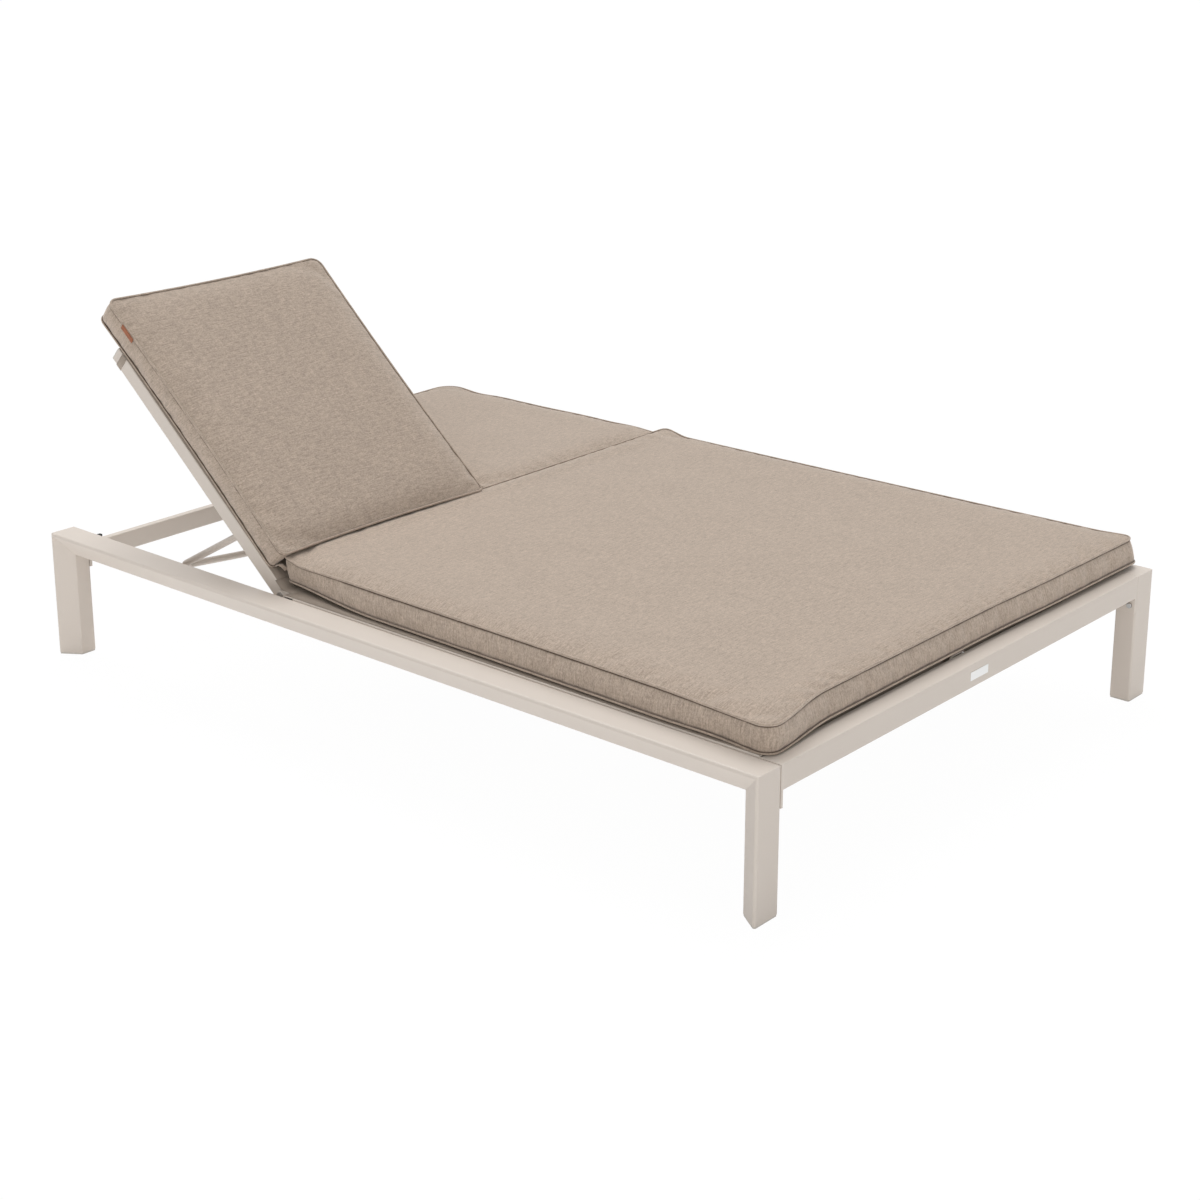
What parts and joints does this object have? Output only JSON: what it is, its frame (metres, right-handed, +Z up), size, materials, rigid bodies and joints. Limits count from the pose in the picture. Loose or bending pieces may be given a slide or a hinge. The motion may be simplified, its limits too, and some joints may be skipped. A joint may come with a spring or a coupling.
{
  "type": "double chaise lounger",
  "caption": "Low double sun lounger with a powder-coated frame, fabric slings, loose cushions and separately tilting backs.",
  "frame": {"origin": "on the floor, under the middle of the whole outline, flat back cushion included", "axes": "+X across the lounger to its flat back's side, +Y from the foot end to the head end, +Z up"},
  "size_m": [1.4612, 2.1639, 0.8668],
  "materials": {
    "frame_paint": "satin sand powder coat on aluminium",
    "sling_mesh": "woven outdoor mesh",
    "cushion_fabric": "beige melange outdoor fabric over foam",
    "strap_fabric": "beige woven band",
    "steel": "stainless steel",
    "plastic": "sand coloured nylon",
    "dark_plastic": "dark nylon",
    "rubber": "black rubber",
    "leather": "brown leather",
    "label_plate": "white, blank"
  },
  "bodies": {
    "base": {"back_centre_beam": "frame_paint", "blank_plate": "label_plate", "foot_rail": "frame_paint", "foot_rail_flanges": "frame_paint", "frame_bolts": "steel", "head_buffers": "rubber", "head_rail": "frame_paint", "head_rail_flanges": "frame_paint", "hinge_cross_rail": "frame_paint", "hinge_ears": "frame_paint", "hinge_pins": "steel", "leg_foot_left": "frame_paint", "leg_foot_right": "frame_paint", "leg_glides": "plastic", "leg_head_left": "frame_paint", "leg_head_right": "frame_paint", "rack_inner_left": "frame_paint", "rack_inner_right": "frame_paint", "rack_outer_left": "frame_paint", "rack_outer_right": "frame_paint", "rack_screws": "steel", "seat_centre_beam": "frame_paint", "seat_cushion": "cushion_fabric", "seat_side_bar_left": "frame_paint", "seat_side_bar_right": "frame_paint", "seat_sling_left": "sling_mesh", "seat_sling_right": "sling_mesh", "seat_spreaders_left": "frame_paint", "seat_spreaders_right": "frame_paint", "side_rail_left": "frame_paint", "side_rail_right": "frame_paint"},
    "back_left": {"back_left_bail_pins": "steel", "back_left_bottom_bar": "frame_paint", "back_left_cushion": "cushion_fabric", "back_left_end_caps": "plastic", "back_left_hinge_plugs": "dark_plastic", "back_left_inner_rail": "frame_paint", "back_left_leather_tab": "leather", "back_left_outer_rail": "frame_paint", "back_left_sling": "sling_mesh", "back_left_strap": "strap_fabric", "back_left_top_bar": "frame_paint"},
    "back_right": {"back_right_bail_pins": "steel", "back_right_bottom_bar": "frame_paint", "back_right_cushion": "cushion_fabric", "back_right_end_caps": "plastic", "back_right_hinge_plugs": "dark_plastic", "back_right_inner_rail": "frame_paint", "back_right_outer_rail": "frame_paint", "back_right_sling": "sling_mesh", "back_right_strap": "strap_fabric", "back_right_top_bar": "frame_paint"},
    "bail_left": {"bail_left": "frame_paint", "bail_left_foot_sleeves": "dark_plastic"},
    "bail_right": {"bail_right": "frame_paint", "bail_right_foot_sleeves": "dark_plastic"}
  },
  "joints": [
    {"name": "back_left_tilt", "type": "hinge", "parent": "base", "child": "back_left", "pos_m": [0, 0.278, 0.292], "axis": [1, 0, 0], "range_deg": [-40.6, 19.4]},
    {"name": "bail_left_swing", "type": "hinge", "parent": "back_left", "child": "bail_left", "pos_m": [0, 0.41695, 0.40187], "axis": [1, 0, 0], "range_deg": [-31.35, 65.05]},
    {"name": "back_right_tilt", "type": "hinge", "parent": "base", "child": "back_right", "pos_m": [0, 0.278, 0.292], "axis": [1, 0, 0], "range_deg": [0, 60]},
    {"name": "bail_right_swing", "type": "hinge", "parent": "back_right", "child": "bail_right", "pos_m": [0, 0.455, 0.285], "axis": [1, 0, 0], "range_deg": [-95.9, 0.5]}
  ],
  "couplings": [
    {"joint": "bail_left_swing", "follows": "back_left_tilt", "ratio": -1.59},
    {"joint": "bail_right_swing", "follows": "back_right_tilt", "ratio": -1.59}
  ]
}
